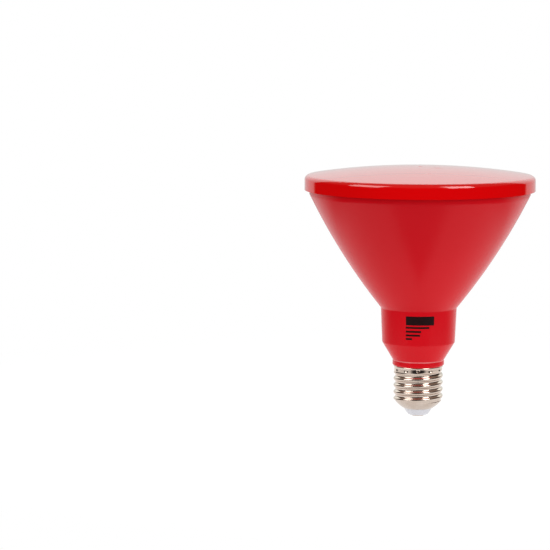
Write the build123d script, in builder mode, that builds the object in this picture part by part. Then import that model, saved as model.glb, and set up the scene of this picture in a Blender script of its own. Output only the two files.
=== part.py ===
from build123d import *
import os
from math import radians, sqrt, tan

os.makedirs("parts", exist_ok=True)

# A reflector-shaped LED lamp, in millimetres. It stands on its screw cap as it would in an upright socket:
# the origin is the underside of the centre contact, and +Z runs up the axis to the lens.

# Fits
slip_fit = 0.2  # radial gap of pieces that slide into one another
part_gap = 0.1  # gap round pieces that are packed together by hand

# Screw cap, size E27
contact_r = 3.4
contact_thickness = 0.6
shank_r = 1.5
insulator_tip_r = 5.2
insulator_tip_round = 1.6
insulator_nose = 3.6  # height of the insulator below the shell
insulator_flange_r = 9.2
insulator_flange = 1.2
shell_wall = 0.3
shell_lip_r = 7.8
shell_foot = 5.1  # height of the rounded foot below the thread
shell_foot_arc_r = 16.0
shell_height = 23.0
band_r = 12.9
band_height = 4.8
band_ramp = 2.4  # height over which the crests sink to the band's radius
thread_pitch = 3.629
thread_root_r = 12.3
thread_crest_r = 13.2
thread_root_flat = 1.1
thread_crest_flat = 0.6
thread_flank_angle = 58.0  # from the axis
thread_shoulder = 0.25  # how far the bevel beside the crest drops
thread_run_in = 5.7  # how far below the foot's top the ridge starts
dimple_count = 12
dimple_ball_r = 2.6
dimple_depth = 0.22
dimple_drop = 1.5

# Housing
housing_wall = 2.0
spigot_wall = 1.8
spigot_lift = 0.7  # height of the spigot's end above the shell's foot
spigot_step = 2.4  # height of the wider part of the spigot, under the shell's crimp
collar_r = 13.75
collar_height = 3.0
collar_chamfer = 0.6
collar_ledge = 0.15  # how far the collar stands out below the taper
collar_bevel = 0.4
taper_height = 9.6
taper_round = 1.5
drum_bottom_r = 19.35
drum_top_r = 20.17
drum_height = 18.35
drum_round = 0.5
cone_height = 60.45
cone_arc_r = 320.0
lip_height = 8.2
rim_round = 0.5

# Lens
lens_r = 61.0
lens_wall = 2.0
lens_edge = 1.5  # height of the lens's edge above the housing's rim
lens_edge_round = 2.5
dome_rise = 4.83
skirt_wall = 2.4
skirt_depth = 6.05
seat_width = 2.5

# Heat sink and light board
sink_sheet = 1.2
sink_wall_height = 18.0
board_drop = 30.0  # from the housing's rim down to the top of the light board
board_thickness = 1.6
board_edge_gap = 4.0
wire_hole_r = 6.0
chip_length = 3.5
chip_width = 2.8
chip_height = 0.7
chip_window_margin = 0.45
chip_window_depth = 0.1
outer_chips = 18
outer_ring_margin = 5.0
inner_chips = 9
inner_ring_r = 15.0
screw_count = 3
screw_ring_r = 24.0
screw_start_angle = 10.0  # midway between two chips of each ring
screw_r = 1.25
screw_length = 12.0
screw_head_r = 2.8
screw_head_height = 1.9
boss_r = 3.2
pilot_spare = 1.5

# Driver board and its guide rails
driver_thickness = 1.6
driver_length = 64.0
driver_lift = 3.0  # height of the driver board's end above the spigot's end
driver_side_gap = 1.2  # from the narrow part's edges to the spigot's bore
shoulder_lift = 1.5  # height of the driver board's shoulders above the drum's bottom
rail_web = 0.7
rail_depth = 3.0
rail_wall = 1.5
rail_foot = 1.2

# Driver parts
core_width = 13.0
core_height = 12.5
core_thickness = 6.0
core_leg = 3.2
core_yoke = 1.65
winding_depth = 10.0
winding_round = 1.5
transformer_lift = 2.4  # above the driver board's shoulders
input_can_r = 5.0
input_can_height = 16.0
input_can_x = -6.4
output_can_r = 4.0
output_can_height = 12.0
output_can_x = 5.6
can_lift = 4.0  # above the transformer
can_round = 0.6
can_groove = 0.4
can_groove_lift = 2.0
pin_r = 0.3
pin_drop = 1.5
film_width = 5.0
film_height = 11.0
film_depth = 5.5
film_x = -3.4
film_lift = 7.0  # above the driver board's lower end
film_round = 0.6
fuse_r = 1.5
fuse_length = 9.0
fuse_x = 3.6
fuse_lift = 8.0
fuse_stand = 0.6
bridge_width = 4.7
bridge_height = 3.8
bridge_depth = 1.3
bridge_below_shoulder = 4.5
chip_body_width = 3.9
chip_body_height = 4.9
chip_body_depth = 1.5
chip_above_shoulder = 12.0
foot_width = 0.45
foot_reach = 0.9
foot_height = 0.7
feet_per_side = 4
feet_spacing = 1.27

# Leads
lead_r = 0.6
lead_stand = 2.4  # how far a lead stands off the driver board
live_lead_lift = 3.0
neutral_lead_x = 5.0
neutral_lead_gap = 0.3
light_lead_x = 3.0
light_lead_drop = 3.0
light_lead_arch = 4.0
light_pad_x = 9.0

# Heights up the axis, worked out from the sizes above
shell_lip_z = contact_thickness + insulator_nose
foot_top_z = shell_lip_z + shell_foot
shell_top_z = shell_lip_z + shell_height
band_z = shell_top_z - band_height
spigot_z = foot_top_z + spigot_lift
collar_top_z = shell_top_z + collar_height
drum_z = collar_top_z + taper_height
drum_top_z = drum_z + drum_height
cone_top_z = drum_top_z + cone_height
rim_z = cone_top_z + lip_height
lens_edge_z = rim_z + lens_edge
apex_z = lens_edge_z + dome_rise
board_top_z = rim_z - board_drop
board_z = board_top_z - board_thickness
sink_z = board_z - sink_sheet
driver_z = spigot_z + driver_lift
driver_top_z = driver_z + driver_length
shoulder_z = drum_z + shoulder_lift

# Radii and widths that follow from the fits
mouth_r = lens_r - skirt_wall - slip_fit
spigot_r = thread_root_r - shell_wall - slip_fit
spigot_band_r = band_r - shell_wall - slip_fit
spigot_bore_r = spigot_r - spigot_wall
drum_bore_r = drum_bottom_r - housing_wall
driver_half_width = drum_bore_r - rail_web
driver_half_neck = spigot_bore_r - driver_side_gap
driver_face = driver_thickness / 2


def arc_centre(start, end, radius):
    """Centre of the arc from start up to end, as (radius, height), that bulges away from the axis."""
    chord = Vector(*end) - Vector(*start)
    middle = (Vector(*start) + Vector(*end)) / 2
    return middle + Vector(-chord.Y, chord.X).normalized() * sqrt(radius**2 - (chord.length / 2) ** 2)


def arc_radius(centre, radius, height):
    """Distance from the axis of the arc's outer side at a height."""
    return centre.X + sqrt(radius**2 - (height - centre.Y) ** 2)


def arc_height(centre, radius, distance):
    """Height of the arc's lower side at a distance from the axis."""
    return centre.Y - sqrt(radius**2 - (distance - centre.X) ** 2)


foot_centre = arc_centre((shell_lip_r, shell_lip_z), (thread_crest_r, foot_top_z), shell_foot_arc_r)
cone_centre = arc_centre((drum_top_r, drum_top_z), (mouth_r, cone_top_z), cone_arc_r)


def cone_arc(inset, low, high):
    """Line of the housing's cone, moved inwards by inset, between the points low and high that lie on it."""
    middle_z = (low[1] + high[1]) / 2
    return ThreePointArc(low, (arc_radius(cone_centre, cone_arc_r - inset, middle_z), middle_z), high)


def finish(piece, label):
    """Names a finished piece and writes it to its own file."""
    piece.part.label = label
    export_step(piece.part, f"parts/{label}.step")


# Centre contact: a flat button with a shank that is riveted through the insulator
insulator_flange_z = arc_height(foot_centre, shell_foot_arc_r - shell_wall - slip_fit, insulator_flange_r)
insulator_top_z = insulator_flange_z + insulator_flange
shank_top_z = insulator_top_z + contact_thickness

with BuildPart() as centre_contact:
    with BuildSketch(Plane.XY):
        Circle(contact_r)
    extrude(amount=contact_thickness)
    button_edge = centre_contact.edges().group_by(Axis.Z)[0]
    fillet(button_edge, contact_thickness / 2)
    with BuildSketch(Plane.XY.offset(contact_thickness)):
        Circle(shank_r)
    extrude(amount=shank_top_z - contact_thickness)
finish(centre_contact, "centre_contact")

# Insulator: a tapered nose below the shell's lip and a flange that sits inside the shell's foot
with BuildPart() as cap_insulator:
    nose_r = shell_lip_r - slip_fit
    with BuildSketch(Plane.XZ) as insulator_section:
        with BuildLine():
            Polyline(
                (shank_r + part_gap, contact_thickness),
                (insulator_tip_r, contact_thickness),
                (nose_r, shell_lip_z),
                (nose_r, insulator_flange_z),
                (insulator_flange_r, insulator_flange_z),
                (insulator_flange_r, insulator_top_z),
                (shank_r + part_gap, insulator_top_z),
                close=True,
            )
        make_face()
        tip_corner = insulator_section.vertices().sort_by_distance((insulator_tip_r, contact_thickness))[0]
        fillet(tip_corner, insulator_tip_round)
    revolve(axis=Axis.Z)
finish(cap_insulator, "cap_insulator")

# Screw shell: thin sheet, with the round thread rolled into it, so that its inside follows its outside
thread_depth = thread_crest_r - thread_root_r
thread_z = foot_top_z - thread_run_in
thread_height = band_z + thread_pitch - thread_z
thread_bite = shell_wall / 2  # how far the ridge is sunk into the core before they are joined
flank_slope = tan(radians(thread_flank_angle))
ramp_slope = (thread_crest_r - band_r) / band_ramp


def threaded_plug(inset, bevel):
    """The shell's outer form, moved inwards by inset: a core, a ridge wound on it, and the band above."""
    root_r = thread_root_r - inset
    outer_r = thread_crest_r - inset + thread_bite
    foot_arc_r = shell_foot_arc_r - inset
    foot_r = shell_lip_r - inset
    foot_low = (foot_r, arc_height(foot_centre, foot_arc_r, foot_r))
    foot_high = (outer_r, arc_height(foot_centre, foot_arc_r, outer_r))
    foot_middle_r = (foot_r + outer_r) / 2
    foot_middle = (foot_middle_r, arc_height(foot_centre, foot_arc_r, foot_middle_r))
    plug_band_z = band_z + inset
    ramp_z = plug_band_z - band_ramp - thread_bite / ramp_slope
    half_ridge = (thread_pitch - thread_root_flat) / 2 - inset * tan(radians(thread_flank_angle / 2))
    shoulder = thread_depth - bevel
    with BuildPart() as plug:
        with BuildSketch(Plane.XY.offset(thread_z - thread_pitch)):
            Circle(root_r)
        extrude(amount=thread_height + 2 * thread_pitch)
        with BuildLine() as helix:
            Helix(thread_pitch, thread_height, root_r, center=(0, 0, thread_z))
        with BuildSketch(Plane(origin=helix.line @ 0, x_dir=(1, 0, 0), z_dir=helix.line % 0)):
            with BuildLine():
                root_point = (-thread_bite, half_ridge + thread_bite / flank_slope)
                flank = Line(root_point, (shoulder, half_ridge - shoulder / flank_slope))
                crest_point = flank @ 1
                if bevel:
                    crest_point = Line(flank @ 1, (thread_depth, thread_crest_flat / 2)) @ 1
                Line(crest_point, (thread_depth, 0))
                mirror(about=Plane.XZ)
                Line(root_point, (-thread_bite, -root_point[1]))
            make_face()
        sweep(path=helix.line, is_frenet=True)
        with BuildSketch(Plane.XZ):
            with BuildLine():
                ThreePointArc(foot_low, foot_middle, foot_high)
                Polyline(
                    foot_high,
                    (outer_r, ramp_z),
                    (band_r - inset, plug_band_z),
                    (0, plug_band_z),
                    (0, foot_low[1]),
                    foot_low,
                )
            make_face()
        revolve(axis=Axis.Z, mode=Mode.INTERSECT)
        with BuildSketch(Plane.XY.offset(plug_band_z)):
            Circle(band_r - inset)
        extrude(amount=shell_top_z + inset - plug_band_z)
    return plug.part


shell_outside = threaded_plug(0, thread_shoulder)
shell_inside = threaded_plug(shell_wall, 0)

with BuildPart() as screw_shell:
    add(shell_outside)
    add(shell_inside, mode=Mode.SUBTRACT)
    with BuildSketch(Plane.XY.offset(shell_lip_z)):
        Circle(shell_lip_r)
    extrude(amount=shell_foot, mode=Mode.SUBTRACT)
    with Locations((0, 0, shell_top_z - dimple_drop)):
        with PolarLocations(band_r + dimple_ball_r - dimple_depth, dimple_count):
            Sphere(dimple_ball_r, mode=Mode.SUBTRACT)
finish(screw_shell, "screw_shell")

# Housing cavity: the core of the mould, with screw bosses and guide rails left standing in it
boss_top_z = sink_z
with BuildPart() as cavity:
    bore_top_r = drum_top_r - housing_wall
    cone_foot = (bore_top_r, arc_height(cone_centre, cone_arc_r - housing_wall, bore_top_r))
    lip_bore_r = mouth_r - housing_wall
    cone_head = (lip_bore_r, arc_height(cone_centre, cone_arc_r - housing_wall, lip_bore_r))
    with BuildSketch(Plane.XZ):
        with BuildLine():
            Polyline(
                (0, rim_z),
                (0, spigot_z),
                (spigot_bore_r, spigot_z),
                (spigot_bore_r, collar_top_z),
                (drum_bore_r, drum_z),
                cone_foot,
            )
            cone_arc(housing_wall, cone_foot, cone_head)
            Polyline(cone_head, (lip_bore_r, rim_z), (0, rim_z))
        make_face()
    revolve(axis=Axis.Z)
    with BuildSketch(Plane.XY.offset(boss_top_z)):
        with PolarLocations(screw_ring_r, screw_count, screw_start_angle):
            Circle(boss_r)
    extrude(amount=drum_top_z - boss_top_z, mode=Mode.SUBTRACT)
    with BuildSketch(Plane.XY.offset(boss_top_z)):
        with PolarLocations(screw_ring_r, screw_count, screw_start_angle):
            Circle(screw_r + part_gap)
    extrude(amount=board_thickness + sink_sheet - screw_length - pilot_spare)
    with BuildSketch(Plane.XY.offset(shoulder_z - rail_foot)):
        with GridLocations(2 * drum_bore_r, 0, 2, 1):
            Rectangle(2 * rail_depth, driver_thickness + 2 * (slip_fit + rail_wall))
    extrude(amount=drum_top_z - shoulder_z + rail_foot, mode=Mode.SUBTRACT)
    with BuildSketch(Plane.XY.offset(shoulder_z)):
        Rectangle(2 * (driver_half_width + slip_fit), driver_thickness + 2 * slip_fit)
    extrude(amount=drum_top_z - shoulder_z)

# Housing: one moulding from the spigot inside the shell to the lip under the lens
with BuildPart() as housing:
    with BuildSketch(Plane.XZ) as skin:
        with BuildLine():
            Polyline(
                (0, rim_z),
                (0, spigot_z),
                (spigot_r, spigot_z),
                (spigot_r, shell_top_z - spigot_step),
                (spigot_band_r, shell_top_z - spigot_step),
                (spigot_band_r, shell_top_z),
                (collar_r - collar_chamfer, shell_top_z),
                (collar_r, shell_top_z + collar_chamfer),
                (collar_r, collar_top_z - collar_bevel),
                (collar_r - collar_ledge, collar_top_z),
                (drum_bottom_r, drum_z),
                (drum_top_r, drum_top_z),
            )
            cone_arc(0, (drum_top_r, drum_top_z), (mouth_r, cone_top_z))
            Polyline((mouth_r, cone_top_z), (mouth_r, rim_z), (0, rim_z))
        make_face()
        for corner, radius in [
            ((drum_bottom_r, drum_z), taper_round),
            ((drum_top_r, drum_top_z), drum_round),
        ]:
            fillet(skin.vertices().sort_by_distance(corner)[0], radius)
    revolve(axis=Axis.Z)
    add(cavity.part, mode=Mode.SUBTRACT)
    rim_edge = housing.edges().filter_by(GeomType.CIRCLE).group_by(Axis.Z)[-1].sort_by(SortBy.RADIUS)[-1]
    fillet(rim_edge, rim_round)
finish(housing, "housing")

# Lens: a shallow dome with a skirt that slides over the housing's lip, and a seat that rests on its rim
dome_r = (lens_r**2 + dome_rise**2) / (2 * dome_rise)
dome_centre_z = apex_z - dome_r
seat_r = mouth_r - seat_width


def dome_height(distance, inset):
    """Height of the dome, moved down by inset, at a distance from the axis."""
    return dome_centre_z + sqrt((dome_r - inset) ** 2 - distance**2)


with BuildPart() as diffuser_lens:
    skirt_z = rim_z - skirt_depth
    skirt_bore_r = lens_r - skirt_wall
    with BuildSketch(Plane.XZ) as lens_section:
        with BuildLine():
            half_r = lens_r / 2
            ThreePointArc((0, apex_z), (half_r, dome_height(half_r, 0)), (lens_r, lens_edge_z))
            Polyline(
                (lens_r, lens_edge_z),
                (lens_r, skirt_z),
                (skirt_bore_r, skirt_z),
                (skirt_bore_r, rim_z),
                (seat_r, rim_z),
                (seat_r, dome_height(seat_r, lens_wall)),
            )
            inner_half = (half_r, dome_height(half_r, lens_wall))
            ThreePointArc((seat_r, dome_height(seat_r, lens_wall)), inner_half, (0, apex_z - lens_wall))
            Line((0, apex_z - lens_wall), (0, apex_z))
        make_face()
        edge_corner = lens_section.vertices().sort_by_distance((lens_r, lens_edge_z))[0]
        fillet(edge_corner, lens_edge_round)
    revolve(axis=Axis.Z)
finish(diffuser_lens, "diffuser_lens")

# Heat sink: a pressed aluminium dish that wedges into the cone and sits on the bosses
sink_inset = housing_wall + slip_fit
sink_inner_inset = sink_inset + sink_sheet
sink_top_z = sink_z + sink_wall_height
sink_floor_r = arc_radius(cone_centre, cone_arc_r - sink_inner_inset, board_z)

with BuildPart() as heat_sink:
    outer_low = (arc_radius(cone_centre, cone_arc_r - sink_inset, sink_z), sink_z)
    outer_high = (arc_radius(cone_centre, cone_arc_r - sink_inset, sink_top_z), sink_top_z)
    inner_high = (arc_radius(cone_centre, cone_arc_r - sink_inner_inset, sink_top_z), sink_top_z)
    inner_low = (sink_floor_r, board_z)
    with BuildSketch(Plane.XZ):
        with BuildLine():
            Polyline(inner_low, (wire_hole_r, board_z), (wire_hole_r, sink_z), outer_low)
            cone_arc(sink_inset, outer_low, outer_high)
            Line(outer_high, inner_high)
            cone_arc(sink_inner_inset, inner_low, inner_high)
        make_face()
    revolve(axis=Axis.Z)
    with BuildSketch(Plane.XY.offset(board_z)):
        with PolarLocations(screw_ring_r, screw_count, screw_start_angle):
            Circle(screw_r + slip_fit)
    extrude(amount=-sink_sheet, mode=Mode.SUBTRACT)
finish(heat_sink, "heat_sink")

# Light board: a metal-core disc with holes for the leads and the screws
board_r = sink_floor_r - board_edge_gap

with BuildPart() as led_board:
    with BuildSketch(Plane.XY.offset(board_z)):
        Circle(board_r)
        Circle(wire_hole_r, mode=Mode.SUBTRACT)
        with PolarLocations(screw_ring_r, screw_count, screw_start_angle):
            Circle(screw_r + slip_fit, mode=Mode.SUBTRACT)
    extrude(amount=board_thickness)
finish(led_board, "led_board")

# Light chips: two rings of moulded packages, each with a shallow window in its top
with BuildPart() as led_chips:
    outer_ring_r = board_r - outer_ring_margin
    for ring_r, count, start_angle in [
        (outer_ring_r, outer_chips, 0),
        (inner_ring_r, inner_chips, screw_start_angle + 180 / inner_chips),
    ]:
        with BuildSketch(Plane.XY.offset(board_top_z)):
            with PolarLocations(ring_r, count, start_angle):
                Rectangle(chip_length, chip_width)
        extrude(amount=chip_height)
        with BuildSketch(Plane.XY.offset(board_top_z + chip_height)):
            with PolarLocations(ring_r, count, start_angle):
                Rectangle(chip_length - 2 * chip_window_margin, chip_width - 2 * chip_window_margin)
        extrude(amount=-chip_window_depth, mode=Mode.SUBTRACT)
finish(led_chips, "led_chips")

# Board screws: pan heads on the light board, shanks down through the heat sink into the bosses
with BuildPart() as board_screws:
    with BuildSketch(Plane.XY.offset(board_top_z)):
        with PolarLocations(screw_ring_r, screw_count, screw_start_angle):
            Circle(screw_head_r)
    extrude(amount=screw_head_height)
    head_edges = board_screws.edges().group_by(Axis.Z)[-1]
    fillet(head_edges, screw_head_height / 2)
    with BuildSketch(Plane.XY.offset(board_top_z)):
        with PolarLocations(screw_ring_r, screw_count, screw_start_angle):
            Circle(screw_r)
    extrude(amount=-screw_length)
finish(board_screws, "board_screws")

# Driver board: a narrow tongue down the spigot and a wide part whose edges stand in the drum's rails
with BuildPart() as driver_board:
    with BuildSketch(Plane.XZ):
        with BuildLine():
            Polyline(
                (-driver_half_neck, driver_z),
                (driver_half_neck, driver_z),
                (driver_half_neck, shoulder_z),
                (driver_half_width, shoulder_z),
                (driver_half_width, driver_top_z),
                (-driver_half_width, driver_top_z),
                (-driver_half_width, shoulder_z),
                (-driver_half_neck, shoulder_z),
                close=True,
            )
        make_face()
    extrude(amount=driver_face, both=True)
finish(driver_board, "driver_board")

# Transformer: a ferrite core with two windows, and a winding round its middle leg that seats on the board
transformer_z = shoulder_z + transformer_lift + core_height / 2
transformer_y = -driver_face - winding_depth / 2
window_height = core_height - 2 * core_yoke
window_width = (core_width - core_leg - 2 * core_yoke) / 2
window_x = (core_leg + window_width) / 2

with BuildPart() as transformer_core:
    with BuildSketch(Plane.XZ.offset(-transformer_y)):
        with Locations((0, transformer_z)):
            Rectangle(core_width, core_height)
        with Locations((-window_x, transformer_z), (window_x, transformer_z)):
            Rectangle(window_width, window_height, mode=Mode.SUBTRACT)
    extrude(amount=core_thickness / 2, both=True)
finish(transformer_core, "transformer_core")

with BuildPart() as transformer_winding:
    winding_width = core_leg + 2 * (window_width - part_gap)
    with BuildSketch(Plane.XY.offset(transformer_z)):
        with Locations((0, transformer_y)):
            RectangleRounded(winding_width, winding_depth, winding_round)
            Rectangle(core_leg + 2 * part_gap, core_thickness + 2 * part_gap, mode=Mode.SUBTRACT)
    extrude(amount=window_height / 2 - part_gap, both=True)
finish(transformer_winding, "transformer_winding")

# Electrolytic capacitors: cans that lie along the driver board, with two pins bent back to it
can_z = transformer_z + core_height / 2 + can_lift


def capacitor(can_x, can_r, can_height):
    """A can with a rounded top, a crimped groove above its foot and two bent pins."""
    can_y = -driver_face - part_gap - can_r
    groove_z = can_z + can_groove_lift
    with BuildPart() as can:
        with BuildSketch(Plane.XY.offset(can_z)):
            with Locations((can_x, can_y)):
                Circle(can_r)
        extrude(amount=can_height)
        fillet(can.edges().group_by(Axis.Z)[-1], can_round)
        with Locations((can_x, can_y, groove_z)):
            Torus(can_r, can_groove, mode=Mode.SUBTRACT)
        for pin_x in (can_x - can_r / 2, can_x + can_r / 2):
            with BuildLine() as pin:
                FilletPolyline(
                    (pin_x, can_y, can_z),
                    (pin_x, can_y, can_z - pin_drop),
                    (pin_x, -driver_face, can_z - pin_drop),
                    radius=pin_drop / 2,
                )
            with BuildSketch(Plane(origin=pin.line @ 0, z_dir=pin.line % 0)):
                Circle(pin_r)
            sweep(path=pin.line)
    return can


input_capacitor = capacitor(input_can_x, input_can_r, input_can_height)
finish(input_capacitor, "input_capacitor")
output_capacitor = capacitor(output_can_x, output_can_r, output_can_height)
finish(output_capacitor, "output_capacitor")

# Film capacitor: a potted box in the spigot
with BuildPart() as film_capacitor:
    film_z = driver_z + film_lift
    with BuildSketch(Plane.XZ.offset(driver_face)):
        with Locations((film_x, film_z + film_height / 2)):
            Rectangle(film_width, film_height)
    extrude(amount=film_depth)
    fillet(film_capacitor.edges().group_by(Axis.Y)[0], film_round)
finish(film_capacitor, "film_capacitor")

# Fuse resistor: a small round body with a lead bent to the driver board at each end
with BuildPart() as fuse_resistor:
    fuse_y = -driver_face - fuse_stand - fuse_r
    fuse_z = driver_z + fuse_lift
    fuse_top_z = fuse_z + fuse_length
    with BuildSketch(Plane.XY.offset(fuse_z)):
        with Locations((fuse_x, fuse_y)):
            Circle(fuse_r)
    extrude(amount=fuse_length)
    fillet(fuse_resistor.edges(), fuse_r / 2)
    for end_z, bend_z in [(fuse_z, fuse_z - pin_drop), (fuse_top_z, fuse_top_z + pin_drop)]:
        with BuildLine() as tail:
            FilletPolyline(
                (fuse_x, fuse_y, end_z),
                (fuse_x, fuse_y, bend_z),
                (fuse_x, -driver_face, bend_z),
                radius=pin_drop / 2,
            )
        with BuildSketch(Plane(origin=tail.line @ 0, z_dir=tail.line % 0)):
            Circle(pin_r)
        sweep(path=tail.line)
finish(fuse_resistor, "fuse_resistor")


def flat_package(face_y, outwards, middle_z, width, height, depth, feet):
    """A moulded package on a face of the driver board, with a row of feet along each side."""
    foot_row_x = width + foot_reach
    with BuildPart() as package:
        with BuildSketch(Plane(origin=(0, face_y, middle_z), x_dir=(1, 0, 0), z_dir=(0, outwards, 0))):
            Rectangle(width, height)
        extrude(amount=depth)
        with BuildSketch(Plane(origin=(0, face_y, middle_z), x_dir=(1, 0, 0), z_dir=(0, outwards, 0))):
            with GridLocations(foot_row_x, feet_spacing, 2, feet):
                Rectangle(foot_reach, foot_width)
        extrude(amount=foot_height)
    return package


# Bridge rectifier on the front of the driver board, and the driver chip on its back
bridge_z = shoulder_z - bridge_below_shoulder
bridge_rectifier = flat_package(
    -driver_face, -1, bridge_z, bridge_width, bridge_height, bridge_depth, feet_per_side // 2
)
finish(bridge_rectifier, "bridge_rectifier")
chip_z = shoulder_z + chip_above_shoulder
driver_chip = flat_package(
    driver_face, 1, chip_z, chip_body_width, chip_body_height, chip_body_depth, feet_per_side
)
finish(driver_chip, "driver_chip")


def lead(points, bend_r):
    """A round lead along straight runs that are joined by tangent bends."""
    with BuildPart() as wire:
        with BuildLine() as route:
            FilletPolyline(*points, radius=bend_r)
        with BuildSketch(Plane(origin=route.line @ 0, z_dir=route.line % 0)):
            Circle(lead_r)
        sweep(path=route.line)
    return wire


# Live lead: from the driver board down to the contact's shank
lead_y = -driver_face - lead_stand
live_z = driver_z + live_lead_lift
live_bend_z = (driver_z + shank_top_z) / 2
live_lead = lead(
    [
        (0, -driver_face, live_z),
        (0, lead_y, live_z),
        (0, lead_y, driver_z),
        (0, 0, live_bend_z),
        (0, 0, shank_top_z),
    ],
    lead_stand / 2,
)
finish(live_lead, "live_lead")

# Neutral lead: down past the spigot's end and out to the inside of the shell
neutral_z = spigot_z - neutral_lead_gap - lead_r
neutral_r = thread_root_r - shell_wall - slip_fit
neutral_end_x = sqrt(neutral_r**2 - lead_y**2)
neutral_lead = lead(
    [
        (neutral_lead_x, -driver_face, live_z),
        (neutral_lead_x, lead_y, live_z),
        (neutral_lead_x, lead_y, neutral_z),
        (neutral_end_x - lead_r, lead_y, neutral_z),
    ],
    lead_stand / 2,
)
finish(neutral_lead, "neutral_lead")

# Light leads: up the back of the driver board, through heat sink and light board, and over to two pads on top
for side, label in [(1, "led_lead_positive"), (-1, "led_lead_negative")]:
    light_lead = lead(
        [
            (side * light_lead_x, driver_face, driver_top_z - light_lead_drop),
            (side * light_lead_x, -lead_y, driver_top_z - light_lead_drop),
            (side * light_lead_x, -lead_y, board_top_z + light_lead_arch),
            (side * light_pad_x, -lead_y, board_top_z + light_lead_arch),
            (side * light_pad_x, -lead_y, board_top_z),
        ],
        lead_stand / 2,
    )
    finish(light_lead, label)
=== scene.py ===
# %% [markdown]
# A reflector-shaped LED lamp, dressed for a studio picture.
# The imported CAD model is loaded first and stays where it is: it says where every piece goes, in metres,
# with the lamp's axis on Z and the underside of its centre contact at the origin.

# %% Load the frame
import bmesh
import bpy
import numpy as np
from math import cos, pi, radians, sin
from mathutils import Euler, Matrix, Vector


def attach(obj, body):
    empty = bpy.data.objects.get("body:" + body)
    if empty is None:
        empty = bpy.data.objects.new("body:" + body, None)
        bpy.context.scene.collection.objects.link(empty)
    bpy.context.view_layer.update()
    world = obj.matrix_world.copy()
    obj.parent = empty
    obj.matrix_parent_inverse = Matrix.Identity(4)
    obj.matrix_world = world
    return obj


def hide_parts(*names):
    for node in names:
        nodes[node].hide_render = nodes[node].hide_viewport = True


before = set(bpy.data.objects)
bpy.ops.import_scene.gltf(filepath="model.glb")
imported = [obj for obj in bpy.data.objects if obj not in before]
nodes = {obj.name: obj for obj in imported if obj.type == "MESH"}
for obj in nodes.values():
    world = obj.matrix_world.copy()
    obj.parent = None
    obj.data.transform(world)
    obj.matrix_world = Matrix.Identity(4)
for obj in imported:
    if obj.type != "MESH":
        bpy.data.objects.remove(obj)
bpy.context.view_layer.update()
MM = 0.001

# %% [markdown]
# Colours are given as sRGB hex values, but shaders work with linear light.
# One function turns one into the other, so that every finish below can be written as a plain hex colour.
# Nodes could be added one by one and linked afterwards, which takes many lines. Here one function adds a
# node, sets what is a value and links what is another node, so that a finish reads from top to bottom.

# %% Colours and nodes
def linear(hex_colour):
    """sRGB to linear light: the low end is divided by 12.92, the rest is raised to the power 2.4."""
    srgb = np.array([int(hex_colour[i:i + 2], 16) for i in (1, 3, 5)]) / 255
    light = np.where(srgb <= 0.04045, srgb / 12.92, ((srgb + 0.055) / 1.055) ** 2.4)
    return (*light.tolist(), 1.0)


def feed(tree, node, inputs):
    """Fills inputs of a node, given by name, or as a list in the order of the sockets that are in use.
    Each is a value, an output to link, or another node, which stands for its first output in use."""
    in_use = [socket for socket in node.inputs if socket.enabled]
    named = isinstance(inputs, dict)
    sockets = [node.inputs[name] for name in inputs] if named else in_use
    for socket, value in zip(sockets, inputs.values() if named else inputs):
        if isinstance(value, bpy.types.Node):
            value = next(output for output in value.outputs if output.enabled)
        if isinstance(value, bpy.types.NodeSocket):
            tree.links.new(value, socket)
        else:
            socket.default_value = value


def add_node(tree, kind, inputs=(), **settings):
    """Adds a node with its settings and fills its inputs."""
    made = tree.nodes.new(kind)
    for name, value in settings.items():
        setattr(made, name, value)
    feed(tree, made, inputs)
    return made


WHITE = linear("#FFFFFF")
print("mid grey in linear light:", round(linear("#808080")[0], 3))

# %% [markdown]
# Each finish is one Principled shader. What is the same all over a surface is set on the shader's own
# sockets, and what varies is driven by a pattern, which moves a colour, the roughness or the height of the
# surface. The patterns read Object coordinates, which are metres here, so that they stay on the piece
# wherever it is seen from, and a pattern's scale follows from a real size in millimetres.

# %% Materials and patterns
def per_mm(size):
    """Scale of a pattern whose features are that many millimetres apart, on coordinates in metres."""
    return 1 / (size * MM)


def new_material(name, sockets):
    """A material with one Principled shader, whose sockets that are the same all over are set at once."""
    material = bpy.data.materials.new(name)
    material.use_nodes = True
    tree = material.node_tree
    shader = tree.nodes["Principled BSDF"]
    feed(tree, shader, sockets)
    place = add_node(tree, "ShaderNodeTexCoord").outputs["Object"]
    return material, tree, shader, place


def drive(tree, shader, socket, pattern, low, high):
    """Lets a pattern from 0 to 1 move a colour or a number of the shader between two values."""
    if isinstance(low, str):
        between = add_node(tree, "ShaderNodeMix", [pattern, linear(low), linear(high)], data_type="RGBA")
    else:
        between = add_node(tree, "ShaderNodeMapRange", [pattern, 0.0, 1.0, low, high])
    feed(tree, shader, {socket: between})


def raise_grain(tree, shader, pattern, depth_mm, strength):
    """Lets a pattern stand out of the surface by so many millimetres."""
    bump = add_node(
        tree, "ShaderNodeBump", {"Height": pattern, "Distance": depth_mm * MM, "Strength": strength}
    )
    feed(tree, shader, {"Normal": bump})


print("a grain of 0.5 mm has a scale of", round(per_mm(0.5)))

# %% [markdown]
# Nearly every visible piece of this lamp is turned or rolled: one outline, carried round the axis.
# An outline is an array of (radius, height) in millimetres. Its straight stretches need only their ends,
# and its fillets and arcs are worked out from their radius, so a size is changed in one place.

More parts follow.
